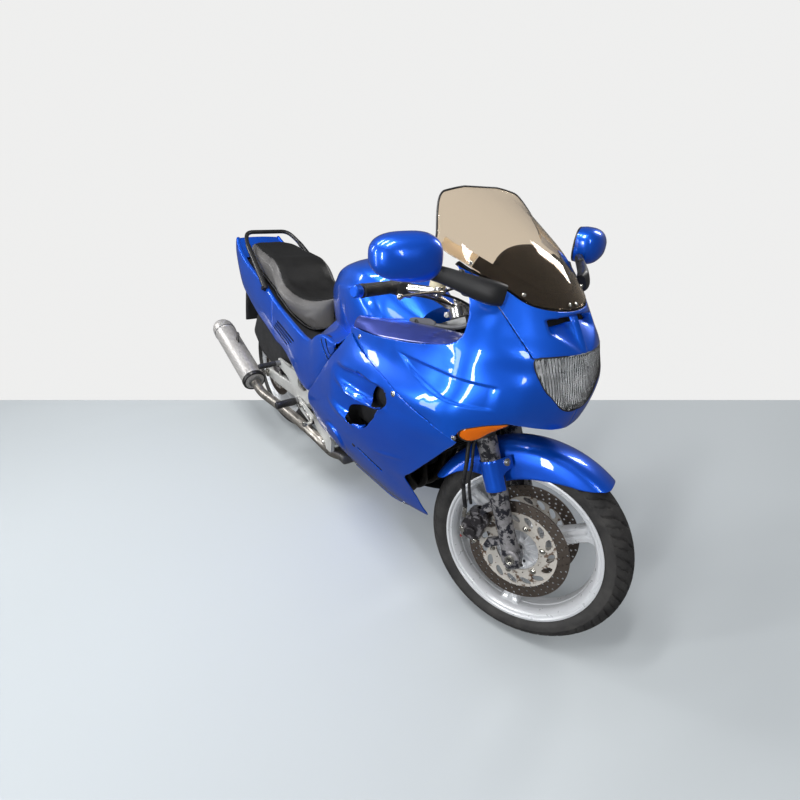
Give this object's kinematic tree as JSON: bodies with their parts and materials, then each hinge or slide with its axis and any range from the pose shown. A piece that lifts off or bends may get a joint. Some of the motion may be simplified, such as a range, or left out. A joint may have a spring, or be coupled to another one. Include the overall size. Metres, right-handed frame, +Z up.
{
  "type": "sport touring motorcycle",
  "caption": "Fully faired sport touring motorcycle leaning on its side stand, with turning steering and wheels, folding stands and a hinged fuel cap.",
  "frame": {"origin": "bottom centre of the bounding box of the parked machine, on the ground", "axes": "+X forward along the machine, +Y to the rider's left, +Z up"},
  "size_m": [2.2139, 0.8414, 1.2427],
  "materials": {
    "amber_lens": "amber lens",
    "black_plastic": "moulded black plastic",
    "black_steel": "black satin paint",
    "bright_alloy": "satin alloy",
    "chain_steel": "oiled steel",
    "disc_steel": "ground stainless steel",
    "engine_grey": "dark cast alloy",
    "exhaust_steel": "heat-tinted steel pipe",
    "fork_alloy": "mottled black paint over alloy",
    "frame_silver": "satin silver paint",
    "grey_plastic": "moulded grey plastic",
    "hose_rubber": "black rubber",
    "lamp_glass": "clear fluted lens",
    "paint_blue": "metallic blue gloss paint under clear coat",
    "radiator_black": "matt black core",
    "screen_tint": "smoke bronze tinted acrylic",
    "seat_vinyl": "black and dark grey grained vinyl",
    "silencer_steel": "polished brushed steel",
    "tail_lens": "clear and red lens",
    "tyre": "grooved tread",
    "wheel_silver": "silver paint, machined edge"
  },
  "bodies": {
    "chassis": {"frame": "frame_silver", "subframe": "black_steel", "engine": "engine_grey", "radiator": "radiator_black", "exhaust_pipes": "exhaust_steel", "silencers": "silencer_steel", "fuel_tank": "paint_blue", "seat": "seat_vinyl", "front_panel": "paint_blue", "side_cowl_right": "paint_blue", "side_cowl_left": "paint_blue", "lower_fairing_right": "paint_blue", "lower_fairing_left": "paint_blue", "belly_pan": "paint_blue", "windscreen": "screen_tint", "headlight": "lamp_glass", "turn_signals": "amber_lens", "instrument_panel": "black_plastic", "cockpit_panels": "grey_plastic", "side_cover_right": "paint_blue", "side_cover_left": "paint_blue", "tail_cowl": "paint_blue", "tail_light": "tail_lens", "rear_mudguard": "black_plastic", "grab_rail": "black_steel", "mirror_right": "paint_blue", "mirror_left": "paint_blue", "swingarm": "frame_silver", "rear_shock": "black_steel", "rear_axle": "bright_alloy", "chain": "chain_steel", "rear_caliper": "fork_alloy", "footrest_hangers": "bright_alloy", "foot_pedals": "bright_alloy"},
    "steering": {"fork_yokes": "fork_alloy", "fork_legs": "fork_alloy", "front_axle": "bright_alloy", "front_mudguard": "paint_blue", "front_calipers": "fork_alloy", "handlebars": "bright_alloy", "hand_levers": "bright_alloy", "brake_hoses": "hose_rubber"},
    "front_wheel": {"front_rim": "wheel_silver", "front_tyre": "tyre", "front_discs": "disc_steel"},
    "rear_wheel": {"rear_rim": "wheel_silver", "rear_tyre": "tyre", "rear_disc": "disc_steel", "rear_sprocket": "disc_steel"},
    "side_stand": {"side_stand": "black_steel"},
    "centre_stand": {"centre_stand": "black_steel"},
    "fuel_cap": {"fuel_cap": "bright_alloy"}
  },
  "joints": [
    {"name": "steering_turn", "type": "hinge", "parent": "chassis", "child": "steering", "pos_m": [0.54269, -0.0569, 0.75254], "axis": [-0.4508, 0.1471, 0.8804], "range_deg": [-51.9, 10.1]},
    {"name": "front_wheel_spin", "type": "hinge", "parent": "steering", "child": "front_wheel", "pos_m": [0.81919, -0.12061, 0.28828], "axis": [-0.319, 0.8947, -0.3128], "continuous": true},
    {"name": "rear_wheel_spin", "type": "hinge", "parent": "chassis", "child": "rear_wheel", "pos_m": [-0.68349, -0.13088, 0.31491], "axis": [-0.0006, 0.9863, -0.165], "continuous": true},
    {"name": "side_stand_fold", "type": "hinge", "parent": "chassis", "child": "side_stand", "pos_m": [-0.0519, 0.03706, 0.20135], "axis": [0.0006, 0.9884, 0.1519], "range_deg": [0, 111]},
    {"name": "centre_stand_fold", "type": "hinge", "parent": "chassis", "child": "centre_stand", "pos_m": [-0.12371, -0.14079, 0.25368], "axis": [0.0006, -0.9863, 0.165], "range_deg": [0, 95]},
    {"name": "fuel_cap_open", "type": "hinge", "parent": "chassis", "child": "fuel_cap", "pos_m": [0.06603, -0.01585, 0.99961], "axis": [0.0006, -0.9863, 0.165], "range_deg": [0, 100]}
  ]
}
